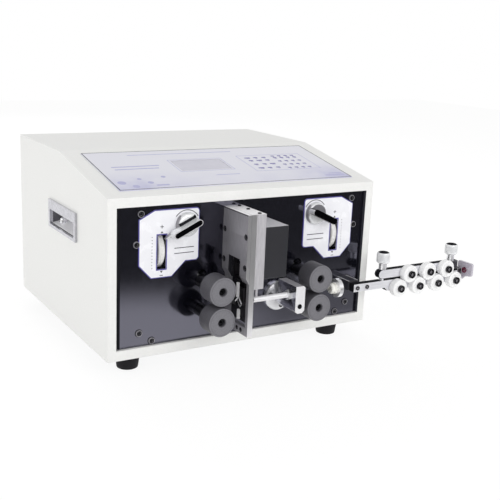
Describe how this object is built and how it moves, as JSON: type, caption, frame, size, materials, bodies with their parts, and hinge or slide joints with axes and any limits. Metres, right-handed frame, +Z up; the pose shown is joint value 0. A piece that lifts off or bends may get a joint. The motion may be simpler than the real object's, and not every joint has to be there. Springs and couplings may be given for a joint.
{
  "type": "wire cutting stripping machine",
  "caption": "Bench wire cutting and stripping machine: sloped-top case with feed rollers, notched-blade cutter head, swinging guide tube and a roller wire straightener at its side.",
  "frame": {"origin": "middle of the overall box, on the floor under the feet", "axes": "+X to the machine's right, along the wire towards the straightener; +Y backwards; +Z up"},
  "size_m": [0.4524, 0.3314, 0.211],
  "materials": {
    "case_paint": "warm white fine paint",
    "panel_black": "polished black",
    "zinc_steel": "plated sheet",
    "foot_rubber": "matt",
    "black_steel": "black oxide",
    "handle_chrome": "bright",
    "overlay_film": "printed film",
    "display": "grey display",
    "white_plate": "printed plate",
    "rail_steel": "ground",
    "motor_black": "satin",
    "head_steel": "ground",
    "cover_black": "satin black",
    "polished_steel": "polished",
    "ivory_plastic": "satin",
    "dark_steel": "satin",
    "bar_steel": "polished",
    "end_grey": "satin",
    "ruby": "polished ruby",
    "inlet_black": "moulded",
    "knob_chrome": "bright",
    "dial_cream": "moulded",
    "blade_steel": "ground edges",
    "roller_grey": "ground grey coating",
    "nylon_white": "white nylon",
    "rocker_red": "moulded"
  },
  "bodies": {
    "machine": {"case_shell": "case_paint", "base_plate": "zinc_steel", "rear_panel": "case_paint", "front_panel": "panel_black", "rubber_feet": "foot_rubber", "socket_screws": "black_steel", "side_handles": "handle_chrome", "control_overlay": "overlay_film", "lcd_module": "display", "power_supply": "zinc_steel", "adjuster_plates": "white_plate", "slide_rails": "rail_steel", "feed_motors": "motor_black", "cutter_motor": "motor_black", "head_block": "head_steel", "head_plate": "head_steel", "head_cover": "head_steel", "drive_cover": "cover_black", "pivot_flange": "polished_steel", "inlet_guide": "polished_steel", "inlet_nozzle": "ivory_plastic", "straightener_bracket": "dark_steel", "lower_bar": "bar_steel", "eyelet_plate": "end_grey", "eyelet": "ruby", "power_inlet": "inlet_black", "swing_solenoid": "motor_black"},
    "left_lower_feed": {"left_lower_roller": "roller_grey", "left_lower_shaft": "black_steel"},
    "left_lift": {"left_lift_block": "rail_steel"},
    "left_upper_feed": {"left_upper_roller": "roller_grey", "left_upper_shaft": "black_steel"},
    "left_knob": {"left_lift_knob": "knob_chrome"},
    "left_dial": {"left_gap_dial": "dial_cream"},
    "right_lower_feed": {"right_lower_roller": "roller_grey", "right_lower_shaft": "black_steel"},
    "right_lift": {"right_lift_block": "rail_steel"},
    "right_upper_feed": {"right_upper_roller": "roller_grey", "right_upper_shaft": "black_steel"},
    "right_knob": {"right_lift_knob": "knob_chrome"},
    "right_dial": {"right_gap_dial": "dial_cream"},
    "upper_cutter": {"upper_blade_holder": "head_steel", "upper_blade": "blade_steel"},
    "lower_cutter": {"lower_blade_holder": "head_steel", "lower_blade": "blade_steel"},
    "cutter_drive": {"cutter_pinion": "rail_steel"},
    "swing": {"swing_guide": "polished_steel", "guide_tube": "polished_steel"},
    "upper_rail": {"upper_bar": "bar_steel", "upper_axles": "black_steel"},
    "left_screw": {"left_thumbscrew": "knob_chrome"},
    "right_screw": {"right_thumbscrew": "knob_chrome"},
    "lower_straightening_roller_1": {"lower_wheel_1": "nylon_white"},
    "lower_straightening_roller_2": {"lower_wheel_2": "nylon_white"},
    "lower_straightening_roller_3": {"lower_wheel_3": "nylon_white"},
    "lower_straightening_roller_4": {"lower_wheel_4": "nylon_white"},
    "upper_straightening_roller_1": {"upper_wheel_1": "nylon_white"},
    "upper_straightening_roller_2": {"upper_wheel_2": "nylon_white"},
    "upper_straightening_roller_3": {"upper_wheel_3": "nylon_white"},
    "rocker": {"power_rocker": "rocker_red"}
  },
  "joints": [
    {"name": "left_lower_spin", "type": "hinge", "parent": "machine", "child": "left_lower_feed", "pos_m": [-0.1188, -0.12074, 0.0595], "axis": [0, 1, 0], "continuous": true},
    {"name": "left_knob_turn", "type": "hinge", "parent": "machine", "child": "left_knob", "pos_m": [-0.138, -0.12074, 0.1528], "axis": [0, -1, 0], "range_deg": [-1, 91]},
    {"name": "left_lift_slide", "type": "slide", "parent": "machine", "child": "left_lift", "axis": [0, 0, 1], "range_m": [0, 0.006]},
    {"name": "left_upper_spin", "type": "hinge", "parent": "left_lift", "child": "left_upper_feed", "pos_m": [-0.1188, -0.12074, 0.0915], "axis": [0, 1, 0], "continuous": true},
    {"name": "left_dial_turn", "type": "hinge", "parent": "machine", "child": "left_dial", "pos_m": [-0.1653, -0.09774, 0.1263], "axis": [1, 0, 0], "range_deg": [-150, 150]},
    {"name": "right_lower_spin", "type": "hinge", "parent": "machine", "child": "right_lower_feed", "pos_m": [0.0002, -0.12074, 0.0595], "axis": [0, 1, 0], "continuous": true},
    {"name": "right_knob_turn", "type": "hinge", "parent": "machine", "child": "right_knob", "pos_m": [0.0194, -0.12074, 0.1528], "axis": [0, 1, 0], "range_deg": [-1, 91]},
    {"name": "right_lift_slide", "type": "slide", "parent": "machine", "child": "right_lift", "axis": [0, 0, 1], "range_m": [0, 0.006]},
    {"name": "right_upper_spin", "type": "hinge", "parent": "right_lift", "child": "right_upper_feed", "pos_m": [0.0002, -0.12074, 0.0915], "axis": [0, 1, 0], "continuous": true},
    {"name": "right_dial_turn", "type": "hinge", "parent": "machine", "child": "right_dial", "pos_m": [0.0467, -0.09774, 0.1263], "axis": [1, 0, 0], "range_deg": [-150, 150]},
    {"name": "upper_blade_slide", "type": "slide", "parent": "machine", "child": "upper_cutter", "axis": [0, 0, -1], "range_m": [-0.004, 0.005]},
    {"name": "lower_blade_slide", "type": "slide", "parent": "machine", "child": "lower_cutter", "axis": [0, 0, 1], "range_m": [-0.004, 0.005]},
    {"name": "pinion_turn", "type": "hinge", "parent": "machine", "child": "cutter_drive", "pos_m": [-0.0638, -0.14474, 0.124], "axis": [1, 0, 0], "range_deg": [-42, 34]},
    {"name": "guide_swing", "type": "hinge", "parent": "machine", "child": "swing", "pos_m": [-0.0248, -0.12074, 0.0641], "axis": [0, 1, 0], "range_deg": [-12, 0], "stiffness_Nm_per_rad": 0.3, "springref_deg": 8.59},
    {"name": "upper_bar_slide", "type": "slide", "parent": "machine", "child": "upper_rail", "axis": [0, 0, 1], "range_m": [0, 0.004]},
    {"name": "left_screw_turn", "type": "hinge", "parent": "upper_rail", "child": "left_screw", "pos_m": [0.1007, -0.14274, 0.089], "axis": [0, 0, 1], "range_deg": [-2, 1442]},
    {"name": "right_screw_turn", "type": "hinge", "parent": "upper_rail", "child": "right_screw", "pos_m": [0.2059, -0.14274, 0.089], "axis": [0, 0, 1], "range_deg": [-2, 1442]},
    {"name": "lower_wheel_1_spin", "type": "hinge", "parent": "machine", "child": "lower_straightening_roller_1", "pos_m": [0.119, -0.12074, 0.0648], "axis": [0, 1, 0], "continuous": true},
    {"name": "lower_wheel_2_spin", "type": "hinge", "parent": "machine", "child": "lower_straightening_roller_2", "pos_m": [0.1478, -0.12074, 0.0648], "axis": [0, 1, 0], "continuous": true},
    {"name": "lower_wheel_3_spin", "type": "hinge", "parent": "machine", "child": "lower_straightening_roller_3", "pos_m": [0.1766, -0.12074, 0.0648], "axis": [0, 1, 0], "continuous": true},
    {"name": "lower_wheel_4_spin", "type": "hinge", "parent": "machine", "child": "lower_straightening_roller_4", "pos_m": [0.2054, -0.12074, 0.0648], "axis": [0, 1, 0], "continuous": true},
    {"name": "upper_wheel_1_spin", "type": "hinge", "parent": "upper_rail", "child": "upper_straightening_roller_1", "pos_m": [0.1334, -0.12074, 0.0802], "axis": [0, 1, 0], "continuous": true},
    {"name": "upper_wheel_2_spin", "type": "hinge", "parent": "upper_rail", "child": "upper_straightening_roller_2", "pos_m": [0.1622, -0.12074, 0.0802], "axis": [0, 1, 0], "continuous": true},
    {"name": "upper_wheel_3_spin", "type": "hinge", "parent": "upper_rail", "child": "upper_straightening_roller_3", "pos_m": [0.191, -0.12074, 0.0802], "axis": [0, 1, 0], "continuous": true},
    {"name": "rocker_tilt", "type": "hinge", "parent": "machine", "child": "rocker", "pos_m": [-0.1738, 0.16026, 0.081], "axis": [1, 0, 0], "range_deg": [-16, 0]}
  ],
  "couplings": [
    {"joint": "left_knob_turn", "follows": "left_lift_slide", "rad_per_m": 261.8},
    {"joint": "left_upper_spin", "follows": "left_lower_spin", "ratio": -1},
    {"joint": "right_knob_turn", "follows": "right_lift_slide", "rad_per_m": 261.8},
    {"joint": "right_upper_spin", "follows": "right_lower_spin", "ratio": -1},
    {"joint": "lower_blade_slide", "follows": "upper_blade_slide", "ratio": 1},
    {"joint": "pinion_turn", "follows": "upper_blade_slide", "rad_per_m": -142.86},
    {"joint": "left_screw_turn", "follows": "upper_bar_slide", "rad_per_m": 6283.2},
    {"joint": "right_screw_turn", "follows": "upper_bar_slide", "rad_per_m": 6283.2}
  ]
}
